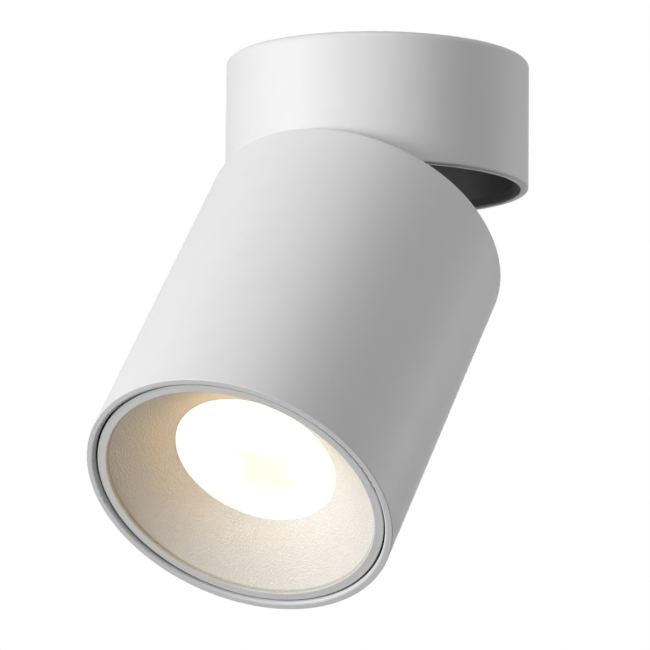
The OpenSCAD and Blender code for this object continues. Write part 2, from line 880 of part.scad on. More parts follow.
// Places of the two screws that hold the light source's holder
module at_holder_screws(z) {
    for (side = [-1, 1]) translate([side * holder_screw_r, 0, z]) children();
}

module led_holder() {
    sunk = m3_head_h + m3_sunk;
    color(nylon) on_head() difference() {
        ring(holder_mouth, holder_r, holder_front, sink_depth);
        translate([0, 0, board_front]) cylinder(r = board_r + board_play, h = sink_depth - board_front + cut);
        translate([0, 0, holder_front - cut])
            cylinder(r1 = holder_mouth + holder_flare, r2 = holder_mouth, h = holder_flare_h + cut);
        at_holder_screws(0) hole(m3_clear, holder_front, sink_depth);
        at_holder_screws(holder_front - cut) cylinder(r = m3_head_r + board_play, h = sunk + cut);
    }
}

module holder_screws() {
    seat = holder_front + m3_head_h + m3_sunk;
    color(steel) on_head() at_holder_screws(seat) mirror([0, 0, 1])
        screw(m3_r, sink_depth - seat + holder_screw_bite, m3_head_r, m3_head_h);
}

// Bright funnel that gathers the light from the board into the lens
module mirror_funnel() {
    wide = lens_r - 1;
    narrow = holder_mouth - 1;
    far = holder_front - push;
    color(steel) on_head() rotate_extrude() polygon([[wide, funnel_z], [funnel_flange_r, funnel_z],
        [funnel_flange_r, funnel_z + funnel_flange], [wide + funnel_wall, funnel_z + funnel_flange],
        [narrow + funnel_wall, far], [narrow, far]]);
}

module lens_gasket() {
    color(rubber) on_head() ring(lens_r + gasket_inset, lens_r + lens_edge, lens_back, funnel_z);
}

module lens() {
    color(lit) on_head() translate([0, 0, lens_depth]) cylinder(r = lens_r + lens_edge, h = lens_t);
}

// White cone between the front ring and the lens, with the seat that holds lens, gasket and funnel
module reflector_cone() {
    slope = (ring_inner - lens_r) / (lens_depth - seat_lip - cone_front);
    side = cone_wall * sqrt(1 + slope * slope);
    seat_r = lens_r + lens_edge + lens_play;
    boss_out = seat_r + cone_wall;
    lip_r = ring_skirt_in - push;
    boss_front = cone_front + (ring_inner + side - boss_out) / slope;
    color(coat) on_head() rotate_extrude() polygon([[ring_inner, cone_front], [lip_r, cone_front],
        [lip_r, cone_front + (ring_inner + side - lip_r) / slope], [boss_out, boss_front],
        [boss_out, cone_boss_z], [seat_r, cone_boss_z], [seat_r, lens_depth], [lens_r, lens_depth],
        [lens_r, lens_depth - seat_lip]]);
}

// Ring that snaps into the tube's mouth on its seal and holds the cone
module front_ring() {
    back = ring_recess + ring_face_t + ring_skirt_l;
    color(coat) on_head() rotate_extrude() difference() {
        union() {
            translate([ring_inner, ring_recess]) square([ring_w, ring_face_t]);
            translate([ring_skirt_in, ring_recess]) square([ring_r - ring_skirt_in, back - ring_recess]);
        }
        translate([seal_ring_r - seal_r - run, seal_z - groove_w / 2]) square([ring_w, groove_w]);
        corner(ring_r, ring_recess, ring_round, 1, -1);
        corner(ring_inner, ring_recess, ring_round, -1, -1);
    }
}

module ring_seal() {
    color(rubber) on_head() translate([0, 0, seal_z]) rotate_extrude()
        translate([seal_ring_r, 0]) circle(seal_r, $fn = 24);
}

ceiling_plate();
cable_bush();
earth_screw();
terminal_block();
terminal_screws();
canopy_shell();
lock_screw();
carrier_plate();
carrier_screws();
swivel_bush();
glide_washer();
stop_pin();
turntable_cup();
swivel_stem();
swivel_spring();
swivel_nut();
hinge_bracket();
bracket_screws();
head_yoke();
yoke_screws();
hinge_bolt();
friction_washers();
hinge_springs();
hinge_nut();
head_tube();
rear_cover();
cover_screws();
cable_gland();
gland_nut();
driver_case();
driver_board();
driver_lid();
driver_screws();
heat_sink();
sink_screws();
thermal_pad();
led_board();
led_holder();
holder_screws();
mirror_funnel();
lens_gasket();
lens();
reflector_cone();
front_ring();
ring_seal();
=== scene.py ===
"""Ceiling spotlight with a tilting head: finishes, fasteners, optics and a plain studio."""
import json
import math

import bmesh
import bpy
from bpy.props import FloatProperty, FloatVectorProperty, IntProperty, PointerProperty
from mathutils import Euler, Matrix, Vector

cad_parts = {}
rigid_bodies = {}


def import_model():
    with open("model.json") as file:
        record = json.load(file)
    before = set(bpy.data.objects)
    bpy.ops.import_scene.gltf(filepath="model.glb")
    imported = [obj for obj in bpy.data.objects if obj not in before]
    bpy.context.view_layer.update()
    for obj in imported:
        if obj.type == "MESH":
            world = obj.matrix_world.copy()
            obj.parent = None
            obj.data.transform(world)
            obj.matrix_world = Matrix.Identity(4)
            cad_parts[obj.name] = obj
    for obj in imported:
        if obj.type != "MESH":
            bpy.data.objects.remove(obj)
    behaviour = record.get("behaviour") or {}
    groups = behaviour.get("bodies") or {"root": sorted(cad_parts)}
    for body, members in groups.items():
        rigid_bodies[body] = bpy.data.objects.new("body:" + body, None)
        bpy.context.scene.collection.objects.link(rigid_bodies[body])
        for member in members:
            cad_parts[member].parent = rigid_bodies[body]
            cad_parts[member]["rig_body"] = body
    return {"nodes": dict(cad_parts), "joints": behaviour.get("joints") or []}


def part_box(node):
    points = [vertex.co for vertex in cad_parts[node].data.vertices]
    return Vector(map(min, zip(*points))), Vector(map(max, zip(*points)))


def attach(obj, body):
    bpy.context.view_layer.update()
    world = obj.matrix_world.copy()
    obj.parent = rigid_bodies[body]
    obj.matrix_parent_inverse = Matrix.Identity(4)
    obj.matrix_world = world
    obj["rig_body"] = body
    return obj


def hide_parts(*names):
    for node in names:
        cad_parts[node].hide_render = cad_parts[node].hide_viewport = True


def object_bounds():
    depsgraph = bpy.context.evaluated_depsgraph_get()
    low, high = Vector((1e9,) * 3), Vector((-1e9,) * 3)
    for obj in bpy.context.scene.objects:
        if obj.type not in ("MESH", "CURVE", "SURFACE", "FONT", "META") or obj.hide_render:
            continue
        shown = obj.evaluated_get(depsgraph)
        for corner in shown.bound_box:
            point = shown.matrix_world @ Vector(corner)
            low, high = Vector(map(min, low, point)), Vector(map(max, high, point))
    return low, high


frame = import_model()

bl_info = {
    "name": "Ceiling spotlight",
    "version": (1, 0, 0),
    "blender": (4, 5, 0),
    "location": "View3D > Sidebar > Spotlight",
    "description": "Dresses the tilting spotlight and sets a plain studio round it",
    "category": "Object",
}

NODES = frame["nodes"]
CAD_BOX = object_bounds()
MM = 0.001

UP = Vector((0, 0, 1))
TILT = next(joint for joint in frame["joints"] if joint["name"] == "tilt")
PIVOT = Vector(TILT["pos_m"])
REST_TILT = math.radians(-TILT["range_deg"][0])


def head_frame():
    """Matrix from the head's own frame, with depth from its front edge along Z, to the part's frame."""
    hang = Matrix.Translation(PIVOT) @ Matrix.Rotation(-REST_TILT, 4, "Y")
    back = hang.inverted()
    front = min((back @ v.co).z for v in NODES["head_tube"].data.vertices)
    return hang @ Matrix.Translation(Vector((-PIVOT.x, 0, front)))


HEAD = head_frame()
CANOPY = Matrix.Identity(4)
# Corners closer than this count as one place
NEAR = 0.02 * MM
# Colour of zinc plate, and the dark grey painted as shade in the gaps round the front ring
ZINC = (0.60, 0.61, 0.63)
GAP_SHADE_GREY = (0.10, 0.10, 0.102, 1.0)


def corners_of(node, place):
    """Distinct radii and heights of a node's vertices about the Z axis of a frame, to 0.01 mm."""
    back = place.inverted()
    found = set()
    for vertex in NODES[node].data.vertices:
        co = back @ vertex.co
        found.add((round(math.hypot(co.x, co.y), 5), round(co.z, 5)))
    return found


def islands(node, place):
    """Points of each separate solid of a node, in a frame."""
    mesh = bmesh.new()
    mesh.from_mesh(NODES[node].data)
    mesh.transform(place.inverted())
    bmesh.ops.remove_doubles(mesh, verts=mesh.verts, dist=0.002 * MM)
    left = set(mesh.verts)
    groups = []
    while left:
        edge = [left.pop()]
        group = []
        while edge:
            vertex = edge.pop()
            group.append(vertex.co.copy())
            for link in vertex.link_edges:
                other = link.other_vert(vertex)
                if other in left:
                    left.remove(other)
                    edge.append(other)
        groups.append(group)
    mesh.free()
    return groups


class Link:
    """A node's output socket, on which arithmetic adds Math nodes to the same tree."""

    def __init__(self, graph, socket):
        self.graph = graph
        self.socket = socket

    def __add__(self, other):
        return self.graph.math("ADD", self, other)

    def __radd__(self, other):
        return self.graph.math("ADD", other, self)

    def __sub__(self, other):
        return self.graph.math("SUBTRACT", self, other)

    def __rsub__(self, other):
        return self.graph.math("SUBTRACT", other, self)

    def __mul__(self, other):
        return self.graph.math("MULTIPLY", self, other)

    def __rmul__(self, other):
        return self.graph.math("MULTIPLY", other, self)

    def __truediv__(self, other):
        return self.graph.math("DIVIDE", self, other)

    def __rtruediv__(self, other):
        return self.graph.math("DIVIDE", other, self)

    def __pow__(self, other):
        return self.graph.math("POWER", self, other)

    def __neg__(self):
        return self.graph.math("MULTIPLY", self, -1.0)

    def __gt__(self, other):
        return self.graph.math("GREATER_THAN", self, other)

    def __lt__(self, other):
        return self.graph.math("LESS_THAN", self, other)

    def __mod__(self, other):
        return self.graph.math("FLOORED_MODULO", self, other)


class Graph:
    """A node tree, shader or geometry, that is filled by plain calls."""

    def __init__(self, tree):
        self.tree = tree
        tree.nodes.clear()

    def add(self, kind, settings=None, inputs=None, output=0):
        """Adds one node, sets it up, feeds its sockets and returns one output."""
        node = self.tree.nodes.new(kind)
        for name, value in (settings or {}).items():
            if name == "stops":
                self.fill_ramp(node.color_ramp, value)
            else:
                setattr(node, name, value)
        for key, value in (inputs or {}).items():
            self.feed(node.inputs[key], value)
        return Link(self, node.outputs[output]) if len(node.outputs) else None

    def feed(self, socket, value):
        if isinstance(value, Link):
            self.tree.links.new(value.socket, socket)
        else:
            socket.default_value = value

    def fill_ramp(self, ramp, stops):
        while len(ramp.elements) < len(stops):
            ramp.elements.new(1.0)
        for element, (place, colour) in zip(ramp.elements, stops):
            element.position = place
            element.color = colour

    def math(self, operation, a, b=0.0, c=0.0):
        return self.add("ShaderNodeMath", {"operation": operation}, {0: a, 1: b, 2: c})

    def vector(self, operation, a, b=(0, 0, 0), scale=1.0):
        return self.add("ShaderNodeVectorMath", {"operation": operation}, {0: a, 1: b, 3: scale})

    def xyz(self, x, y, z):
        return self.add("ShaderNodeCombineXYZ", inputs={"X": x, "Y": y, "Z": z})

    def split(self, vector):
        """The three numbers of a vector, from one node."""
        first = self.add("ShaderNodeSeparateXYZ", inputs={"Vector": vector})
        outputs = first.socket.node.outputs
        return [Link(self, outputs[i]) for i in range(3)]

    def clamp(self, value, low=0.0, high=1.0):
        return self.math("MINIMUM", self.math("MAXIMUM", value, low), high)

    def ramp(self, value, low, high):
        """0 below low, 1 above high, and an even slope between them."""
        return self.clamp((value - low) / (high - low))

    def distance(self, x, y):
        """Distance from the axis."""
        return self.math("SQRT", x * x + y * y)

    def seen(self):
        """1 for what the camera sees by itself, in gloss or through glass."""
        path = self.add("ShaderNodeLightPath").socket.node.outputs
        names = ("Is Camera Ray", "Is Glossy Ray", "Is Transmission Ray")
        camera, glossy, through = (Link(self, path[name]) for name in names)
        return self.math("MAXIMUM", self.math("MAXIMUM", camera, glossy), through)

    def mix(self, factor, a, b):
        """Colour between a and b."""
        return self.add("ShaderNodeMix", {"data_type": "RGBA"}, {0: factor, 6: a, 7: b}, 2)


class Finish(Graph):
    """The node tree of one surface finish."""

    def __init__(self, name):
        self.material = bpy.data.materials.new(name)
        self.material.use_nodes = True
        super().__init__(self.material.node_tree)
        self.object_point = self.add("ShaderNodeTexCoord", output="Object")

    def placed(self, place, scale=(1, 1, 1)):
        """Object coordinates taken into another frame, so that a pattern is centred and turned with it."""
        return self.add("ShaderNodeMapping", {"vector_type": "TEXTURE"}, {
            "Vector": self.object_point, "Location": place.to_translation(),
            "Rotation": place.to_euler(), "Scale": scale})

    def noise(self, size, detail=2.0, point=None, roughness=0.5):
        """Noise from 0 to 1 with features of about one size, in metres."""
        return self.add("ShaderNodeTexNoise", inputs={
            "Vector": point or self.object_point, "Scale": 1 / size, "Detail": detail, "Roughness": roughness})

    def cells(self, size, point=None, feature="F1", output="Distance"):
        return self.add("ShaderNodeTexVoronoi", {"feature": feature}, {
            "Vector": point or self.object_point, "Scale": 1 / size}, output)

    def bump(self, height, depth, under=None):
        """Normal of a relief, with the height from 0 to 1 and its depth in metres."""
        inputs = {"Height": height, "Distance": depth, "Strength": 1.0}
        if under is not None:
            inputs["Normal"] = under
        return self.add("ShaderNodeBump", inputs=inputs)

    def finish(self, **sockets):
        """Ends the tree with one Principled shader; an underscore in a name stands for a space."""
        shader = self.add("ShaderNodeBsdfPrincipled", inputs={
            name.replace("_", " "): value for name, value in sockets.items()})
        self.add("ShaderNodeOutputMaterial", inputs={"Surface": shader})
        return self.material


def grey(level):
    return (level, level, level, 1.0)


def rgb(colour):
    return (colour[0], colour[1], colour[2], 1.0)


def shade(colour, factor):
    """A colour made darker or lighter by a factor."""
    return tuple(min(1.0, c * factor) for c in colour[:3]) + (1.0,)


def powder_coat(name, colour, settings, gap_shade=None):
    """Matt powder coat: an even colour, faint mottle, soft orange peel, a fine dry grain and sparse seeds. Where
    the mask function (of the radius and the depth in the head) is given, a dark grey is painted there as shade in
    the gaps round the front ring."""
    g = Finish(name)
    mottle = g.noise(9 * MM, 3.0)
    tone = g.mix(mottle, shade(colour, 0.975), shade(colour, 1.02))
    specks = g.ramp(g.noise(0.45 * MM, 1.0), 0.66, 0.74)
    tone = g.mix(specks * 0.10, tone, shade(colour, 0.72))
    # Painted shade: dark grey over the mask, standing in for the shadow in the gaps round the front ring
    if gap_shade:
        x, y, z = g.split(g.placed(HEAD))
        tone = g.mix(gap_shade(g, g.distance(x, y), z), tone, GAP_SHADE_GREY)
    peel = g.noise(settings.peel_size, 2.0, roughness=0.55)
    grain = g.noise(settings.grain_size, 1.0)
    seeds = (1.0 - g.ramp(g.cells(settings.seed_spacing), 0.05, 0.10)) * g.ramp(mottle, 0.48, 0.60)
    under = g.bump(seeds, settings.seed_height, g.bump(peel, settings.peel_depth))
    return g.finish(
        Base_Color=tone,
        Roughness=0.48 + 0.10 * mottle,
        IOR=1.48,
        Normal=g.bump(grain, settings.grain_depth, under))


def textured_plastic(name, colour, settings, front):
    """White moulded cone with a leathery etched grain: pebbles with creases between them, with shade painted into
    the creases.
    Its outermost edge, behind the front ring, gets a painted shadow line."""
    g = Finish(name)
    mottle = g.noise(5 * MM, 3.0)
    point = g.placed(HEAD)
    bent = g.vector("ADD", point, g.vector("SCALE", g.add("ShaderNodeTexNoise", inputs={
        "Vector": point, "Scale": 1 / (1.6 * MM), "Detail": 2.0}, output=1), scale=0.8 * MM))
    creases = 1.0 - g.ramp(g.cells(settings.cone_grain_size, bent, "DISTANCE_TO_EDGE"), 0.02, 0.22)
    fine = g.noise(0.35 * MM, 2.0)
    tone = g.mix(mottle, shade(colour, 0.95), shade(colour, 1.03))
    # Painted shade: the creases are painted darker
    tone = g.mix(creases * 0.16, tone, shade(colour, 0.70))
    depth = g.split(point)[2]
    # Painted shade: a dark line along the cone's front edge, standing in for the shadow under the front ring
    seam = 1.0 - g.ramp(depth, front + 0.25 * MM, front + 0.45 * MM)
    return g.finish(
        Base_Color=g.mix(seam, tone, shade(colour, 0.72)),
        Roughness=0.52 + 0.12 * mottle,
        IOR=1.5,
        Specular_IOR_Level=0.3,
        Normal=g.bump(fine, 0.02 * MM, g.bump(1.0 - creases, settings.cone_crease)))


def black_coat(name, colour, edge=None):
    """Black coated alloy: matt, with a very fine grain and an uneven tone. Where edge is given, a height, light is
    painted
    into the colour: what lies above it is painted a light grey as lit wall, and the bevel below it a darker grey."""
    g = Finish(name)
    mottle = g.noise(7 * MM, 4.0)
    grain = g.noise(0.3 * MM, 2.0)
    tone = g.mix(mottle, shade(colour, 0.85), shade(colour, 1.25))
    if edge:
        # Painted light: the black coat is painted grey above the edge as lit wall, and a darker grey on the bevel
        height = g.split(g.object_point)[2]
        painted_light_grey = g.mix(mottle, shade(colour, 6.5), shade(colour, 7.6))
        tone = g.mix(g.ramp(height, edge - 0.1 * MM, edge + 0.3 * MM), shade(colour, 4.5), painted_light_grey)
    return g.finish(
        Base_Color=tone,
        Roughness=0.52 + 0.14 * grain,
        IOR=1.48,
        Specular_IOR_Level=0.04 if edge else 0.15,
        Normal=g.bump(grain, 0.012 * MM))


def plated_steel(name, colour, place):
    """Zinc plate on steel: dull bright, with a soft spangle and fine drawn lines round the axis of a frame."""
    g = Finish(name)
    x, y, z = g.split(g.placed(place))
    radius = g.distance(x, y)
    rings = g.noise(0.25 * MM, 2.0, g.xyz(radius, z, 0.0))
    spangle = g.cells(3.2 * MM, output="Color")
    patch = g.split(spangle)[0]
    return g.finish(
        Base_Color=g.mix(patch * 0.6 + rings * 0.4, shade(colour, 0.86), shade(colour, 1.08)),
        Metallic=1.0,
        Roughness=0.64 + 0.16 * patch + 0.08 * rings,
        Normal=g.bump(rings, 0.006 * MM))


def bright_metal(name, colour, rough, line, depth):
    """Metal with fine straight lines, such as an extruded or turned alloy."""
    g = Finish(name)
    x, y, z = g.split(g.placed(HEAD))
    lines = g.noise(line, 3.0, g.xyz(x, y, z * 0.05))
    stain = g.noise(6 * MM, 4.0)
    return g.finish(
        Base_Color=g.mix(stain, shade(colour, 0.88), shade(colour, 1.06)),
        Metallic=1.0,
        Roughness=rough + 0.12 * lines,
        Normal=g.bump(lines, depth))


def moulded(name, colour, rough, grain, depth, spread=0.05):
    """Moulded plastic or rubber with a fine mould texture and a slightly uneven colour."""
    g = Finish(name)
    mottle = g.noise(6 * MM, 3.0)
    fine = g.noise(grain, 2.0)
    return g.finish(
        Base_Color=g.mix(mottle, shade(colour, 1 - spread), shade(colour, 1 + spread)),
        Roughness=rough + 0.12 * fine,
        IOR=1.46,
        Normal=g.bump(fine, depth))


def circuit(name, mask, copper):
    """Green board with copper traces under its mask and bare pads."""
    g = Finish(name)
    x, y, _ = g.split(g.placed(HEAD))
    flat = g.xyz(x, y, 0.0)
    traces = g.ramp(g.math("ABSOLUTE", g.noise(7 * MM, 0.0, flat) * 14.0 % 1.0 - 0.5), 0.36, 0.40)
    pads = 1.0 - g.ramp(g.cells(2.6 * MM, flat), 0.16, 0.20)
    under = g.mix(traces, shade(mask, 1.0), shade(mask, 1.9))
    return g.finish(
        Base_Color=g.mix(pads, under, rgb(copper)),
        Metallic=pads,
        Roughness=0.30 + 0.1 * traces,
        Normal=g.bump(traces + pads, 0.03 * MM))


def light_board(name, settings):
    """White board of the light source with its yellow patch and two solder pads."""
    g = Finish(name)
    x, y, _ = g.split(g.placed(HEAD))
    radius = g.distance(x, y)
    patch = 1.0 - g.ramp(radius, 5.7 * MM, 6.0 * MM)
    dam = g.ramp(radius, 5.7 * MM, 6.0 * MM) * (1.0 - g.ramp(radius, 6.6 * MM, 6.9 * MM))
    chips = g.ramp(g.cells(1.1 * MM, g.xyz(x, y, 0.0)), 0.25, 0.55)
    white = g.mix(g.noise(3 * MM, 3.0), grey(0.78), grey(0.86))
    glow = g.mix(chips, (0.95, 0.62, 0.10, 1), (0.80, 0.50, 0.06, 1))
    return g.finish(
        Base_Color=g.mix(patch, g.mix(dam, white, (0.85, 0.80, 0.62, 1)), glow),
        Roughness=0.35 + 0.15 * patch,
        Emission_Color=g.mix(patch, grey(0.0), rgb(settings.glow_color)),
        Emission_Strength=1.0,
        Normal=g.bump(chips * patch, 0.05 * MM))


def polished(name, colour):
    """Vacuum-coated mirror with faint flow marks."""
    g = Finish(name)
    flow = g.noise(4 * MM, 3.0)
    return g.finish(
        Base_Color=g.mix(flow, shade(colour, 0.95), shade(colour, 1.03)),
        Metallic=1.0,
        Roughness=0.07 + 0.06 * flow,
        Normal=g.bump(flow, 0.01 * MM))


def lit_diffuser(name, settings, eye):
    """Opal lens that glows: warm white, stronger on one side, yellower over the light source behind it, and dimmer
    towards its rim."""
    g = Finish(name)
    x, y, _ = g.split(g.placed(HEAD))
    radius = g.distance(x, y)
    from_source = g.math("SQRT", (x - settings.core_shift) ** 2.0 + y * y)
    cloud = g.noise(6 * MM, 3.0)
    chips = g.noise(2.2 * MM, 1.0)
    reach = (from_source + (cloud - 0.5) * (14 * MM) + (chips - 0.5) * (7 * MM)) / (21 * MM)
    core = g.clamp(1.0 - reach * reach)
    rim = g.ramp(radius, eye - 12 * MM, eye - MM)
    side = g.ramp(x * 0.45 - y * 0.9, -eye, eye)
    sides = g.mix(side, rgb(settings.pale_color), rgb(settings.glow_color))
    glow = g.mix(core, sides, rgb(settings.core_color))
    return g.finish(
        Base_Color=g.mix(cloud, grey(0.36), grey(0.42)),
        Roughness=0.30 + 0.08 * cloud,
        Emission_Color=g.mix(rim, glow, rgb(settings.rim_color)),
        Emission_Strength=settings.glow_strength,
        Normal=g.bump(g.noise(0.8 * MM, 2.0), 0.01 * MM))


def wear(node, material):
    """Gives a carried-over piece its finish."""
    materials = NODES[node].data.materials
    materials.clear()
    materials.append(material)


def dress(finishes):
    """Gives each piece its finish, from a table of finish to names."""
    for material, names in finishes:
        for name in names:
            wear(name, material)


class Tree(Graph):
    """A geometry node group with named inputs, run once on a mesh."""

    def __init__(self, name, sizes):
        super().__init__(bpy.data.node_groups.new(name, "GeometryNodeTree"))
        self.ids = {}
        face = self.tree.interface
        face.new_socket("Geometry", in_out="INPUT", socket_type="NodeSocketGeometry")
        for label, value in sizes.items():
            kind = "NodeSocketInt" if isinstance(value, int) else "NodeSocketFloat"
            if isinstance(value, bpy.types.Material):
                kind = "NodeSocketMaterial"
            socket = face.new_socket(label, in_out="INPUT", socket_type=kind)
            self.ids[label] = socket.identifier
        face.new_socket("Geometry", in_out="OUTPUT", socket_type="NodeSocketGeometry")
        self.sizes = sizes
        self.source = self.tree.nodes.new("NodeGroupInput")

    def __getitem__(self, label):
        return Link(self, self.source.outputs[label])

    def closed_turning(self, corners, cuts, segments, ring):
        """Surface of revolution about Z through corners (radius, height). A stretch between two corners gets the
        extra rows that cuts gives for its first corner. A ring closes on itself and doesn't meet the axis."""
        count = len(corners) + (1 if ring else 0)
        line = self.add("GeometryNodeMeshLine", inputs={"Count": count})
        index = self.add("GeometryNodeInputIndex")
        loop = corners + corners[:count - len(corners)]
        chosen = self.switch("VECTOR", index, [self.xyz(r, 0.0, z) for r, z in loop])
        line = self.add("GeometryNodeSetPosition", inputs={"Geometry": line, "Position": chosen})
        rows = self.switch("INT", index, [cuts.get(i, 0) for i in range(count)])
        curve = self.add("GeometryNodeMeshToCurve", inputs={"Mesh": line})
        curve = self.add("GeometryNodeSubdivideCurve", inputs={"Curve": curve, "Cuts": rows})
        number = self.add("GeometryNodeAttributeDomainSize", {"component": "CURVE"}, {"Geometry": curve})
        grid = self.add("GeometryNodeMeshGrid", inputs={"Vertices X": segments + 1, "Vertices Y": number})
        row = index % number
        angle = self.math("FLOOR", index / number + 1e-4) * (math.tau / segments)
        point = self.add("GeometryNodeInputPosition")
        profile = self.add("GeometryNodeSampleIndex", {"data_type": "FLOAT_VECTOR"},
                           {"Geometry": curve, "Value": point, "Index": row})
        radius, _, height = self.split(profile)
        rolled = self.xyz(radius * self.math("COSINE", angle), radius * self.math("SINE", angle), height)
        return self.add("GeometryNodeSetPosition", inputs={"Geometry": grid, "Position": rolled})

    def switch(self, kind, index, values):
        """One of several values, by index."""
        node = self.tree.nodes.new("GeometryNodeIndexSwitch")
        node.data_type = kind
        while len(node.index_switch_items) < len(values):
            node.index_switch_items.new()
        self.feed(node.inputs["Index"], index)
        for i, value in enumerate(values):
            self.feed(node.inputs[i + 1], value)
        return Link(self, node.outputs[0])

    def moved(self, geometry, offset, selection=True):
        return self.add("GeometryNodeSetPosition", inputs={
            "Geometry": geometry, "Selection": selection, "Offset": offset})

    def sealed(self, geometry, sharp):
        """Merges the seam and the poles, and shades smooth except over sharp edges."""
        merged = self.add("GeometryNodeMergeByDistance", inputs={"Geometry": geometry, "Distance": 0.003 * MM})
        angle = self.add("GeometryNodeInputMeshEdgeAngle")
        return self.add("GeometryNodeSetShadeSmooth", {"domain": "EDGE"}, {
            "Geometry": merged, "Selection": angle > math.radians(sharp), "Shade Smooth": False})

    def end(self, geometry, material):
        """Ends the tree with Realize Instances and Set Material."""
        real = self.add("GeometryNodeRealizeInstances", inputs={"Geometry": geometry})
        dressed = self.add("GeometryNodeSetMaterial", inputs={"Geometry": real, "Material": material})
        self.add("NodeGroupOutput", inputs={0: dressed})

    def run(self, piece, sizes=None):
        """Runs the tree on a piece and leaves the result as its plain mesh."""
        modifier = piece.modifiers.new(self.tree.name, "NODES")
        modifier.node_group = self.tree
        for label, identifier in self.ids.items():
            modifier[identifier] = (sizes or self.sizes)[label]
        evaluated = piece.evaluated_get(bpy.context.evaluated_depsgraph_get())
        made = bpy.data.meshes.new_from_object(evaluated)
        piece.modifiers.remove(modifier)
        finish = next(material for material in made.materials if material)
        made.materials.clear()
        made.materials.append(finish)
        made.polygons.foreach_set("material_index", [0] * len(made.polygons))
        piece.data = made
        return piece


def new_piece(name, points=(), axis=None):
    """Mesh object at the origin, with seat points that each carry an axis."""
    mesh = bpy.data.meshes.new(name)
    mesh.from_pydata([tuple(p) for p in points], [], [])
    if axis is not None:
        data = mesh.attributes.new("axis", "FLOAT_VECTOR", "POINT").data
        for value in data:
            value.vector = axis
    piece = bpy.data.objects.new(name, mesh)
    bpy.context.scene.collection.objects.link(piece)
    return piece


def point_outwards(piece):
    """Turns the faces of closed shells outwards."""
    mesh = bmesh.new()
    mesh.from_mesh(piece.data)
    bmesh.ops.recalc_face_normals(mesh, faces=mesh.faces)
    mesh.to_mesh(piece.data)
    mesh.free()


def stands_for(piece, node, body):
    """Lets a piece ride on a body in place of a node."""
    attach(piece, body)
    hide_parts(node)


def body_of(node):
    """The body that a node rides on."""
    return NODES[node]["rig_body"]


def screw_sizes(points):
    """Seat, direction of the head and sizes of one screw, whose points are in a frame with Z along it."""
    low = min(p.z for p in points)
    high = max(p.z for p in points)
    x = (min(p.x for p in points) + max(p.x for p in points)) / 2
    y = (min(p.y for p in points) + max(p.y for p in points)) / 2
    reach = [(math.hypot(p.x - x, p.y - y), p.z) for p in points]
    at_low = max(r for r, z in reach if z < low + 0.05 * MM)
    at_high = max(r for r, z in reach if z > high - 0.05 * MM)
    head_r = max(r for r, z in reach)
    up = 1 if at_high > at_low else -1
    rim = [z for r, z in reach if r > head_r - NEAR]
    seat = min(rim) if up > 0 else max(rim)
    tip, top = (low, high) if up > 0 else (high, low)
    return Vector((x, y, seat)), up, {
        "Shank radius": min(at_low, at_high),
        "Shank length": abs(seat - tip),
        "Head radius": head_r,
        "Head height": abs(top - seat),
    }


def screw_tree(settings, material):
    """Socket screw: rolled thread on the shank, rounded head and hexagon socket, one at each seat point."""
    g = Tree("Socket screws", {
        "Shank radius": 1.5 * MM, "Shank length": 8 * MM, "Head radius": 2.8 * MM, "Head height": 2 * MM,
        "Pitch": settings.thread_pitch, "Rows": 40, "Finish": material})
    shank, length, head, height = (g[k] for k in ("Shank radius", "Shank length", "Head radius", "Head height"))
    socket = shank * 0.95
    edge = 0.12 * MM
    round_r = height * 0.28
    depth = g["Pitch"] * 0.35
    floor = height * 0.40
    corners = [
        (0.0, -length), (shank - depth, -length), (shank, -length + depth), (shank, -0.0002),
        (shank, 0.0), (head - edge, 0.0), (head, edge), (head, height - round_r),
        (head - round_r * 0.12, height - round_r * 0.5), (head - round_r * 0.45, height - round_r * 0.13),
        (head - round_r, height), (socket + 2 * edge, height), (socket, height - edge),
        (socket, floor), (0.0, floor - 0.2 * MM)]
    turned = g.closed_turning(corners, {2: g["Rows"]}, settings.screw_segments, False)
    x, y, z = g.split(g.add("GeometryNodeInputPosition"))
    radius = g.distance(x, y)
    angle = g.math("ARCTAN2", y, x)
    sixth = math.tau / 6
    flat = math.cos(sixth / 2) / g.math("COSINE", angle % sixth - sixth / 2)
    in_socket = (radius < socket + 0.2 * edge) * (z > floor - 0.01 * MM) * (radius > 0.05 * MM)
    in_thread = (z < -0.0001) * (z > depth * 1.01 - length) * (radius > shank * 0.5)
    wave = g.math("PINGPONG", z / g["Pitch"] - angle / math.tau + 40.0, 0.5) * 2.0
    shrink = in_socket * (flat - 1.0) - in_thread * wave * depth / shank
    turned = g.moved(turned, g.xyz(x * shrink, y * shrink, 0.0))
    one = g.sealed(turned, 40)
    along = g.add("GeometryNodeInputNamedAttribute", {"data_type": "FLOAT_VECTOR"}, {"Name": "axis"})
    turn = g.add("FunctionNodeAlignRotationToVector", {"axis": "Z"}, {"Vector": along})
    placed = g.add("GeometryNodeInstanceOnPoints", inputs={
        "Points": Link(g, g.source.outputs["Geometry"]), "Instance": one, "Rotation": turn})
    g.end(placed, g["Finish"])
    return g


def make_screws(node, place, tree, settings, material, name):
    """All screws of one node as one piece."""
    seats = []
    sizes = {}
    up = 1
    for points in islands(node, place):
        seat, up, sizes = screw_sizes(points)
        seats.append(place @ seat)
    axis = (place.to_3x3() @ UP).normalized() * up
    sizes["Pitch"] = settings.thread_pitch
    sizes["Rows"] = math.ceil(sizes["Shank length"] / settings.thread_pitch * 4)
    sizes["Finish"] = material
    piece = tree.run(new_piece(name, seats, axis), sizes)
    point_outwards(piece)
    stands_for(piece, node, body_of(node))
    return piece


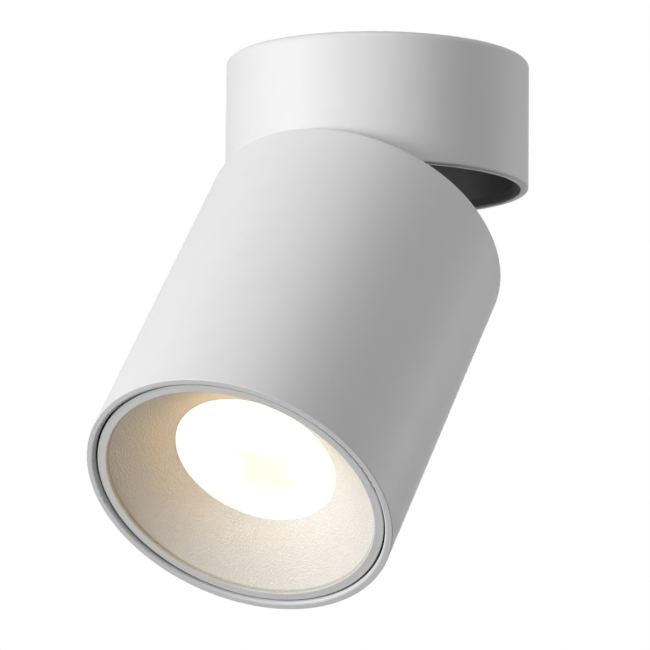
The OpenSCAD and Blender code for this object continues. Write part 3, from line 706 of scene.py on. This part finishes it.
def cone_tree(settings, material, sizes):
    """Textured cone: its turned section, with an etched grain raised on the face that shows."""
    g = Tree("Textured cone", {
        **sizes, "Rows": settings.cone_rows, "Grain": settings.cone_grain_size, "Relief": settings.cone_relief,
        "Finish": material})
    corners = [
        (g["Mouth radius"], g["Front"]), (g["Lip radius"], g["Front"]), (g["Lip radius"], g["Lip depth"]),
        (g["Boss radius"], g["Boss depth"]), (g["Boss radius"], g["Back"]), (g["Seat radius"], g["Back"]),
        (g["Seat radius"], g["Lens depth"]), (g["Eye radius"], g["Lens depth"]),
        (g["Eye radius"], g["Edge depth"])]
    turned = g.closed_turning(corners, {8: g["Rows"]}, settings.cone_segments, True)
    point = g.add("GeometryNodeInputPosition")
    x, y, z = g.split(point)
    radius = g.distance(x, y)
    slope = (g["Mouth radius"] - g["Eye radius"]) / (g["Edge depth"] - g["Front"])
    wall = g["Eye radius"] + (g["Edge depth"] - z) * slope
    on_face = g.math("ABSOLUTE", radius - wall) < 0.02 * MM
    ends = g.ramp(z, g["Front"] + 0.2 * MM, g["Front"] + 0.8 * MM) * (
        1.0 - g.ramp(z, g["Edge depth"] - 0.8 * MM, g["Edge depth"] - 0.2 * MM))
    coarse = g.add("ShaderNodeTexNoise", inputs={"Vector": point, "Scale": 1.0 / g["Grain"], "Detail": 2.0})
    rise = (coarse - 0.5) * g["Relief"] * on_face * ends
    turned = g.moved(turned, g.xyz(x / radius * rise, y / radius * rise, 0.0))
    g.end(g.sealed(turned, 30), g["Finish"])
    return g


def make_cone(settings, material):
    """White cone between the front ring and the lens."""
    spots = corners_of("reflector_cone", HEAD)
    front = min(z for r, z in spots)
    back = max(z for r, z in spots)
    eye = min(r for r, z in spots)
    lip = max(r for r, z in spots if z < front + NEAR)
    boss = max(r for r, z in spots if z > back - NEAR)
    seat = min(r for r, z in spots if z > back - NEAR)
    sizes = {
        "Mouth radius": min(r for r, z in spots if z < front + NEAR),
        "Lip radius": lip,
        "Lip depth": max(z for r, z in spots if abs(r - lip) < NEAR),
        "Boss radius": boss,
        "Boss depth": min(z for r, z in spots if abs(r - boss) < NEAR),
        "Seat radius": seat,
        "Lens depth": max(z for r, z in spots if r < eye + NEAR),
        "Edge depth": min(z for r, z in spots if r < eye + NEAR),
        "Eye radius": eye,
        "Front": front,
        "Back": back,
    }
    piece = cone_tree(settings, material, sizes).run(new_piece("textured_cone"))
    piece.data.transform(HEAD)
    point_outwards(piece)
    stands_for(piece, "reflector_cone", "head")


def make_lens(settings, material):
    """Opal lens: a low dome in front, a stepped rim and rounded edges."""
    spots = corners_of("lens", HEAD)
    rim = max(r for r, z in spots)
    front = min(z for r, z in spots)
    back = max(z for r, z in spots)
    eye = min(r for r, z in corners_of("reflector_cone", HEAD))
    g = Tree("Opal lens", {"Rim": rim, "Eye": eye, "Front": front, "Back": back,
                           "Dome": settings.lens_dome, "Finish": material})
    edge = 0.25 * MM
    shown = g["Eye"] - 0.4 * MM
    corners = [
        (0.0, g["Front"] - g["Dome"]), (shown, g["Front"]), (g["Rim"] - edge, g["Front"]),
        (g["Rim"] - 0.3 * edge, g["Front"] + 0.3 * edge), (g["Rim"], g["Front"] + edge),
        (g["Rim"], g["Back"] - edge), (g["Rim"] - 0.3 * edge, g["Back"] - 0.3 * edge),
        (g["Rim"] - edge, g["Back"]), (0.0, g["Back"])]
    turned = g.closed_turning(corners, {0: 24}, 160, False)
    x, y, z = g.split(g.add("GeometryNodeInputPosition"))
    share = g.distance(x, y) / shown
    crown = (share - share * share) * g["Dome"] * (z < g["Front"] - 0.001 * MM)
    turned = g.moved(turned, g.xyz(0.0, 0.0, -crown))
    g.end(g.sealed(turned, 30), g["Finish"])
    piece = g.run(new_piece("opal_lens"))
    piece.data.transform(HEAD)
    point_outwards(piece)
    stands_for(piece, "lens", "head")


def make_stem(settings, material):
    """Hollow stem with a rolled thread above the carrier, chamfered ends and a flanged head."""
    spots = corners_of("swivel_stem", CANOPY)
    low = min(z for r, z in spots)
    high = max(z for r, z in spots)
    outer = max(r for r, z in spots if z > high - NEAR)
    head = max(r for r, z in spots)
    g = Tree("Swivel stem", {
        "Bore": min(r for r, z in spots), "Outer": outer, "Head": head, "Low": low, "High": high,
        "Head top": max(z for r, z in spots if abs(r - head) < NEAR),
        "Thread low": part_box("carrier_plate")[1].z, "Pitch": settings.stem_pitch,
        "Rows": settings.stem_rows, "Finish": material})
    edge = 0.3 * MM
    depth = g["Pitch"] * 0.4
    corners = [
        (g["Bore"], g["Low"] + edge), (g["Bore"] + edge, g["Low"]), (g["Head"] - edge, g["Low"]),
        (g["Head"], g["Low"] + edge), (g["Head"], g["Head top"] - edge), (g["Head"] - edge, g["Head top"]),
        (g["Outer"], g["Head top"]), (g["Outer"], g["Thread low"]), (g["Outer"], g["High"] - depth),
        (g["Outer"] - depth, g["High"]), (g["Bore"] + edge, g["High"]), (g["Bore"], g["High"] - edge)]
    turned = g.closed_turning(corners, {7: g["Rows"]}, 72, True)
    x, y, z = g.split(g.add("GeometryNodeInputPosition"))
    radius = g.distance(x, y)
    angle = g.math("ARCTAN2", y, x)
    threaded = (radius > g["Outer"] - 0.01 * MM) * (z > g["Thread low"] + 0.1 * MM)
    wave = g.math("PINGPONG", z / g["Pitch"] - angle / math.tau + 40.0, 0.5) * 2.0
    notch = g.ramp(g.math("COSINE", angle * 6.0), 0.80, 0.86) * (radius > g["Head"] - 0.4 * MM)
    shrink = -(threaded * wave * depth + notch * (0.8 * MM)) / radius
    turned = g.moved(turned, g.xyz(x * shrink, y * shrink, 0.0))
    g.end(g.sealed(turned, 35), g["Finish"])
    piece = g.run(new_piece("threaded_stem"))
    point_outwards(piece)
    stands_for(piece, "swivel_stem", "turntable")


def colour_setting(name, description, default):
    """A colour in the panel."""
    return FloatVectorProperty(name=name, description=description, subtype="COLOR", size=3, default=default,
                               min=0, max=1)


def length_setting(name, description, default):
    """A length in the panel, in metres."""
    return FloatProperty(name=name, description=description, unit="LENGTH", default=default)


def angle_setting(name, description, degrees):
    """An angle in the panel, given in degrees."""
    return FloatProperty(name=name, description=description, subtype="ANGLE", default=math.radians(degrees))


def number_setting(name, description, default):
    """A plain number in the panel."""
    return FloatProperty(name=name, description=description, default=default)


def count_setting(name, description, default):
    """A whole number in the panel."""
    return IntProperty(name=name, description=description, default=default)


class CoatSettings(bpy.types.PropertyGroup):
    """Colours and grain of the coated pieces."""
    white: colour_setting("White coat", "Colour of canopy, tube and ring", (0.82, 0.82, 0.825))
    black: colour_setting("Black coat", "Colour of the inner black pieces", (0.050, 0.050, 0.052))
    peel_size: length_setting("Orange peel", "Size of the soft waves in the coat", 1.2 * MM)
    peel_depth: length_setting("Peel depth", "Depth of the soft waves", 0.020 * MM)
    grain_size: length_setting("Grain", "Size of the fine dry grain", 0.30 * MM)
    grain_depth: length_setting("Grain depth", "Depth of the fine grain", 0.008 * MM)
    seed_spacing: length_setting("Seed spacing", "Between the sparse raised specks", 2.4 * MM)
    seed_height: length_setting("Seed height", "Height of the raised specks", 0.03 * MM)


class OpticSettings(bpy.types.PropertyGroup):
    """Cone, lens and light source."""
    cone: colour_setting("Cone", "Colour of the textured cone", (0.87, 0.855, 0.84))
    cone_grain_size: length_setting("Cone grain", "Size of the etched grain", 0.9 * MM)
    cone_relief: length_setting("Cone relief", "Height of the etched grain", 0.16 * MM)
    cone_crease: length_setting("Cone crease", "Depth of the creases in the grain", 0.06 * MM)
    cone_rows: count_setting("Cone rows", "Rows of faces down the cone", 56)
    cone_segments: count_setting("Cone segments", "Faces round the cone", 640)
    lens_dome: length_setting("Lens dome", "Height of the lens's low dome", 0.5 * MM)
    glow_color: colour_setting("Glow", "Light of the lens's stronger side", (1.0, 0.55, 0.16))
    pale_color: colour_setting("Pale", "Light of the lens's weaker side", (0.095, 0.086, 0.056))
    core_color: colour_setting("Core", "Light of the lens over the source", (0.25, 0.19, 0.042))
    rim_color: colour_setting("Rim", "Light of the lens at its rim", (0.091, 0.083, 0.060))
    core_shift: length_setting("Core shift", "From the lens's centre to the yellow patch", -3.5 * MM)
    glow_strength: number_setting("Glow strength", "Brightness of the lens", 14.0)


class FastenerSettings(bpy.types.PropertyGroup):
    """Threads and fineness of the fasteners."""
    thread_pitch: length_setting("Thread pitch", "Pitch of the small screws", 0.6 * MM)
    screw_segments: count_setting("Screw segments", "Faces round a screw", 36)
    stem_pitch: length_setting("Stem pitch", "Pitch of the swivel stem", 1.0 * MM)
    stem_rows: count_setting("Stem rows", "Rows of faces up the stem's thread", 56)


class StudioSettings(bpy.types.PropertyGroup):
    """Camera, lamps and floor."""
    distance: length_setting("Camera distance", "From the canopy's lower edge", 1.4509)
    azimuth: angle_setting("Azimuth", "Direction of the camera round the part", 28.1275)
    dip: angle_setting("Dip", "Angle of the camera below the horizon", 10.5294)
    yaw: angle_setting("Yaw", "Turn of the view to the right", -0.62373)
    pitch: angle_setting("Pitch", "Turn of the view upwards", -1.67674)
    roll: angle_setting("Roll", "Turn of the view about its axis", 0.50638)
    lens: number_setting("Focal length", "For a sensor 36 mm wide, in millimetres", 256.54)
    side: number_setting("Side lamp", "Radiant power of the lamp at the left, in watts", 12.9)
    top: number_setting("Top lamp", "Radiant power of the lamp above the camera, in watts", 6.1)
    rim: number_setting("Rim lamp", "Radiant power of the lamp behind the right side, in watts", 3.8)
    back: number_setting("Back lamp", "Radiant power of the lamp behind the part, in watts", 2.5)
    lamp_width: length_setting("Lamp width", "Side of each square lamp", 0.6)
    lamp_distance: length_setting("Lamp distance", "From the part to each lamp", 1.3)
    sky: number_setting("Sky", "Grey of the light from all round", 0.05)
    floor_drop: length_setting("Floor drop", "Depth of the floor below the ceiling", 0.46)


def make_camera(studio):
    """Camera at the photographed viewing angle."""
    centre = Vector((0, 0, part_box("canopy_shell")[0].z))
    out = Vector((math.cos(studio.azimuth), math.sin(studio.azimuth), 0))
    right = Vector((-out.y, out.x, 0))
    place = centre + studio.distance * (out * math.cos(studio.dip) - UP * math.sin(studio.dip))
    ahead = -out * math.cos(studio.dip) + UP * math.sin(studio.dip)
    ahead, right = turned_pair(ahead, right, studio.yaw)
    up = right.cross(ahead)
    ahead, up = turned_pair(ahead, up, studio.pitch)
    right, up = turned_pair(right, up, studio.roll)
    data = bpy.data.cameras.new("camera")
    data.lens = studio.lens
    data.sensor_width = 36.0
    data.clip_start = 0.05
    data.clip_end = 30.0
    camera = bpy.data.objects.new("camera", data)
    bpy.context.scene.collection.objects.link(camera)
    axes = Matrix((right, up, -ahead)).transposed()
    camera.matrix_world = Matrix.Translation(place) @ axes.to_4x4()
    bpy.context.scene.camera = camera


def turned_pair(a, b, angle):
    """Two vectors turned in their own plane, the first towards the second."""
    return a * math.cos(angle) + b * math.sin(angle), b * math.cos(angle) - a * math.sin(angle)


def make_lamp(name, studio, azimuth, height, power):
    """Soft square lamp that faces the part, at an azimuth from the camera's and a height, both in degrees."""
    data = bpy.data.lights.new(name, "AREA")
    data.shape = "SQUARE"
    data.size = studio.lamp_width
    data.energy = power
    lamp = bpy.data.objects.new(name, data)
    bpy.context.scene.collection.objects.link(lamp)
    turn = studio.azimuth - math.radians(azimuth)
    rise = math.radians(height)
    way = Vector((math.cos(turn) * math.cos(rise), math.sin(turn) * math.cos(rise), math.sin(rise)))
    lamp.location = (CAD_BOX[0] + CAD_BOX[1]) / 2 + way * studio.lamp_distance
    lamp.rotation_euler = (-way).to_track_quat("-Z", "Y").to_euler()
    lamp.visible_camera = False


def make_world(studio):
    """White for the camera, for gloss and for glass, and a soft grey light for everything else."""
    world = bpy.data.worlds.new("studio")
    world.use_nodes = True
    bpy.context.scene.world = world
    g = Graph(world.node_tree)
    seen = g.seen()
    soft = g.add("ShaderNodeBackground", inputs={"Color": grey(studio.sky)})
    white = g.add("ShaderNodeBackground", inputs={"Color": grey(1.0)})
    both = g.add("ShaderNodeMixShader", inputs={0: seen, 1: soft, 2: white})
    g.add("ShaderNodeOutputWorld", inputs={"Surface": both})


def floor_finish():
    """Pale floor that keeps the shadow near the part and fades into the white background further out. It throws
    less light back at the part than it shows to the camera."""
    g = Finish("pale_floor")
    x, y, _ = g.split(g.object_point)
    radius = g.distance(x, y)
    seen = g.seen()
    bounce = g.add("ShaderNodeBsdfDiffuse", inputs={"Color": grey(0.40)})
    shown = g.add("ShaderNodeBsdfDiffuse", inputs={
        "Color": g.mix(g.noise(0.05, 3.0), grey(0.86), grey(0.90))})
    pale = g.add("ShaderNodeMixShader", inputs={0: seen, 1: bounce, 2: shown})
    white = g.add("ShaderNodeEmission", inputs={"Color": grey(1.0), "Strength": 1.0})
    far = g.ramp(radius, 0.25, 1.1)
    top = g.add("ShaderNodeMixShader", inputs={0: seen * far, 1: pale, 2: white})
    clear = g.add("ShaderNodeBsdfTransparent")
    below = g.add("ShaderNodeNewGeometry", output="Backfacing")
    both = g.add("ShaderNodeMixShader", inputs={0: below * seen, 1: top, 2: clear})
    g.add("ShaderNodeOutputMaterial", inputs={"Surface": both})
    return g.material


def make_floor(studio):
    """Round pale floor, well below the part."""
    mesh = bpy.data.meshes.new("floor")
    shape = bmesh.new()
    bmesh.ops.create_circle(shape, cap_ends=True, segments=96, radius=3.0,
                            matrix=Matrix.Translation((0, 0, -studio.floor_drop)))
    shape.to_mesh(mesh)
    shape.free()
    mesh.materials.append(floor_finish())
    floor = bpy.data.objects.new("floor", mesh)
    bpy.context.scene.collection.objects.link(floor)


class SPOTLIGHT_OT_coated_shells(bpy.types.Operator):
    """Coats the canopy, the head's tube and the front ring"""
    bl_idname = "spotlight.coated_shells"
    bl_label = "Coated shells"

    def execute(self, context):
        coat = context.scene.spotlight_coat
        spots = corners_of("front_ring", HEAD)
        outer = max(r for r, z in spots)
        inner = min(r for r, z in spots)
        face = min(z for r, z in spots)
        gap = 0.3 * MM

        # Painted shade: the tube's bore round the ring is painted dark grey as the shadow in the gap
        def tube_gap_shade(g, radius, depth):
            return (radius < outer + 2 * gap + 0.05 * MM) * g.ramp(depth, face, face + 1.5 * MM)

        # Painted shade: the ring's outer side in the gap, and more faintly its inner wall, are painted dark grey
        # as shade
        def ring_gap_shade(g, radius, depth):
            outside = (radius > outer - NEAR) * g.ramp(depth, face + gap, face + 3 * gap)
            inside = (radius < inner + 0.05 * MM) * 0.4
            return g.math("MAXIMUM", outside, inside)

        dress([
            (powder_coat("white_coat", coat.white, coat), ["canopy_shell"]),
            (powder_coat("tube_coat", coat.white, coat, tube_gap_shade), ["head_tube"]),
            (powder_coat("ring_coat", coat.white, coat, ring_gap_shade), ["front_ring"]),
        ])
        return {"FINISHED"}


class SPOTLIGHT_OT_textured_cone(bpy.types.Operator):
    """Builds the textured cone round the lens"""
    bl_idname = "spotlight.textured_cone"
    bl_label = "Textured cone"

    def execute(self, context):
        optics = context.scene.spotlight_optics
        front = min(z for r, z in corners_of("reflector_cone", HEAD))
        material = textured_plastic("cone_plastic", optics.cone, optics, front)
        make_cone(optics, material)
        wear("reflector_cone", material)
        return {"FINISHED"}


class SPOTLIGHT_OT_opal_lens(bpy.types.Operator):
    """Builds the lit opal lens"""
    bl_idname = "spotlight.opal_lens"
    bl_label = "Opal lens"

    def execute(self, context):
        optics = context.scene.spotlight_optics
        material = lit_diffuser("lit_lens", optics, min(r for r, z in corners_of("reflector_cone", HEAD)))
        make_lens(optics, material)
        wear("lens", material)
        return {"FINISHED"}


class SPOTLIGHT_OT_light_engine(bpy.types.Operator):
    """Finishes the heat sink, the light source and the mirror"""
    bl_idname = "spotlight.light_engine"
    bl_label = "Light engine"

    def execute(self, context):
        optics = context.scene.spotlight_optics
        dress([
            (bright_metal("extruded_alloy", (0.62, 0.63, 0.65), 0.34, 0.4 * MM, 0.01 * MM), ["heat_sink"]),
            (light_board("light_board", optics), ["led_board"]),
            (polished("mirror_coat", (0.88, 0.88, 0.89)), ["mirror_funnel"]),
            (moulded("grey_silicone", (0.50, 0.53, 0.56), 0.45, 0.5 * MM, 0.01 * MM),
             ["thermal_pad", "lens_gasket"]),
        ])
        return {"FINISHED"}


class SPOTLIGHT_OT_black_metalwork(bpy.types.Operator):
    """Finishes the turntable, the cover, the bracket and the yoke"""
    bl_idname = "spotlight.black_metalwork"
    bl_label = "Black metalwork"

    def execute(self, context):
        coat = context.scene.spotlight_coat
        spots = corners_of("turntable_cup", CANOPY)
        skirt_h, inner_parts_r = 5 * MM, 30 * MM
        low = min(z for r, z in spots)
        skirt = [(r, z) for r, z in spots if z < low + skirt_h and r > inner_parts_r]
        wall = min(r for r, z in skirt)
        bevel = max(z for r, z in skirt if abs(r - wall) < NEAR)
        dress([
            (black_coat("black_cup", coat.black, bevel), ["turntable_cup"]),
            (black_coat("black_alloy", coat.black), ["rear_cover"]),
            (black_coat("black_steel", shade(coat.black, 0.9)), ["hinge_bracket", "head_yoke"]),
        ])
        return {"FINISHED"}


class SPOTLIGHT_OT_plated_pieces(bpy.types.Operator):
    """Finishes the zinc-plated plates, springs, nuts and pins"""
    bl_idname = "spotlight.plated_pieces"
    bl_label = "Plated pieces"

    def execute(self, context):
        dress([
            (plated_steel("zinc_canopy", ZINC, CANOPY),
             ["ceiling_plate", "carrier_plate", "lock_screw", "stop_pin", "swivel_spring", "swivel_nut"]),
            (plated_steel("zinc_hinge", ZINC, pin_frame()), ["hinge_springs", "hinge_nut"]),
        ])
        return {"FINISHED"}


def pin_frame():
    """Frame whose Z runs along the hinge pin."""
    return Matrix.Translation(PIVOT) @ Euler((math.radians(-90), 0, 0)).to_matrix().to_4x4()


class SPOTLIGHT_OT_plastic_pieces(bpy.types.Operator):
    """Finishes the nylon and rubber pieces"""
    bl_idname = "spotlight.plastic_pieces"
    bl_label = "Plastic and rubber pieces"

    def execute(self, context):
        dress([
            (moulded("white_nylon", (0.78, 0.77, 0.73), 0.42, 0.35 * MM, 0.008 * MM, 0.02),
             ["terminal_block", "swivel_bush", "glide_washer", "driver_case", "driver_lid", "led_holder"]),
            (moulded("black_rubber", (0.028, 0.028, 0.030), 0.66, 0.25 * MM, 0.015 * MM, 0.2),
             ["cable_bush", "friction_washers", "cable_gland", "gland_nut", "ring_seal"]),
        ])
        return {"FINISHED"}


class SPOTLIGHT_OT_driver_circuit(bpy.types.Operator):
    """Finishes the driver's circuit board"""
    bl_idname = "spotlight.driver_circuit"
    bl_label = "Driver circuit"

    def execute(self, context):
        dress([(circuit("circuit_board", (0.02, 0.11, 0.035), (0.80, 0.50, 0.22)), ["driver_board"])])
        return {"FINISHED"}


class SPOTLIGHT_OT_swivel_stem(bpy.types.Operator):
    """Builds the hollow threaded stem of the swivel"""
    bl_idname = "spotlight.swivel_stem"
    bl_label = "Swivel stem"

    def execute(self, context):
        material = plated_steel("zinc_stem", ZINC, CANOPY)
        make_stem(context.scene.spotlight_fasteners, material)
        wear("swivel_stem", material)
        return {"FINISHED"}


class SPOTLIGHT_OT_fasteners(bpy.types.Operator):
    """Builds every screw with its thread and socket"""
    bl_idname = "spotlight.fasteners"
    bl_label = "Fasteners"

    def execute(self, context):
        settings = context.scene.spotlight_fasteners
        steel = plated_steel("zinc_screws", ZINC, CANOPY)
        head_steel = plated_steel("zinc_head_screws", ZINC, HEAD)
        brass = bright_metal("turned_brass", (0.78, 0.56, 0.24), 0.26, 0.3 * MM, 0.006 * MM)
        tree = screw_tree(settings, steel)
        for node in ("carrier_screws", "bracket_screws"):
            make_screws(node, CANOPY, tree, settings, steel, "socket_" + node)
        make_screws("earth_screw", CANOPY, tree, settings, brass, "socket_earth_screw")
        for node in ("yoke_screws", "cover_screws", "driver_screws", "sink_screws", "holder_screws"):
            make_screws(node, HEAD, tree, settings, head_steel, "socket_" + node)
        make_screws("hinge_bolt", pin_frame(), tree, settings, head_steel, "socket_hinge_bolt")
        dress([
            (steel, ["carrier_screws", "bracket_screws"]),
            (head_steel, ["yoke_screws", "cover_screws", "driver_screws", "sink_screws", "holder_screws",
                          "hinge_bolt"]),
            (brass, ["earth_screw", "terminal_screws"]),
        ])
        return {"FINISHED"}


class SPOTLIGHT_OT_studio(bpy.types.Operator):
    """Sets the camera, the lamps, the pale floor and the white background"""
    bl_idname = "spotlight.studio"
    bl_label = "Studio"

    def execute(self, context):
        studio = context.scene.spotlight_studio
        context.scene.view_settings.view_transform = "Standard"
        make_camera(studio)
        make_world(studio)
        make_floor(studio)
        make_lamp("side_lamp", studio, 60, 0, studio.side)
        make_lamp("top_lamp", studio, 0, 45, studio.top)
        make_lamp("rim_lamp", studio, -118, 0, studio.rim)
        make_lamp("back_lamp", studio, 180, 0, studio.back)
        return {"FINISHED"}


OPERATORS = (
    SPOTLIGHT_OT_studio, SPOTLIGHT_OT_coated_shells, SPOTLIGHT_OT_textured_cone, SPOTLIGHT_OT_opal_lens,
    SPOTLIGHT_OT_light_engine, SPOTLIGHT_OT_black_metalwork, SPOTLIGHT_OT_plated_pieces,
    SPOTLIGHT_OT_plastic_pieces, SPOTLIGHT_OT_driver_circuit, SPOTLIGHT_OT_swivel_stem, SPOTLIGHT_OT_fasteners,
)
GROUPS = {
    "spotlight_coat": CoatSettings,
    "spotlight_optics": OpticSettings,
    "spotlight_fasteners": FastenerSettings,
    "spotlight_studio": StudioSettings,
}


class SPOTLIGHT_PT_panel(bpy.types.Panel):
    """Lists the pieces and their sizes and colours"""
    bl_label = "Spotlight"
    bl_idname = "SPOTLIGHT_PT_panel"
    bl_space_type = "VIEW_3D"
    bl_region_type = "UI"
    bl_category = "Spotlight"

    def draw(self, context):
        for operator in OPERATORS:
            self.layout.operator(operator.bl_idname)
        for name, group in GROUPS.items():
            box = self.layout.box()
            for key in group.__annotations__:
                box.prop(getattr(context.scene, name), key)


def register():
    for cls in (*GROUPS.values(), *OPERATORS, SPOTLIGHT_PT_panel):
        bpy.utils.register_class(cls)
    for name, group in GROUPS.items():
        setattr(bpy.types.Scene, name, PointerProperty(type=group))


def unregister():
    for name in GROUPS:
        delattr(bpy.types.Scene, name)
    for cls in reversed((*GROUPS.values(), *OPERATORS, SPOTLIGHT_PT_panel)):
        bpy.utils.unregister_class(cls)


def main():
    """Registers the add-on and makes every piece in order."""
    register()
    for operator in OPERATORS:
        group, name = operator.bl_idname.split(".")
        getattr(getattr(bpy.ops, group), name)()


if __name__ == "__main__":
    main()
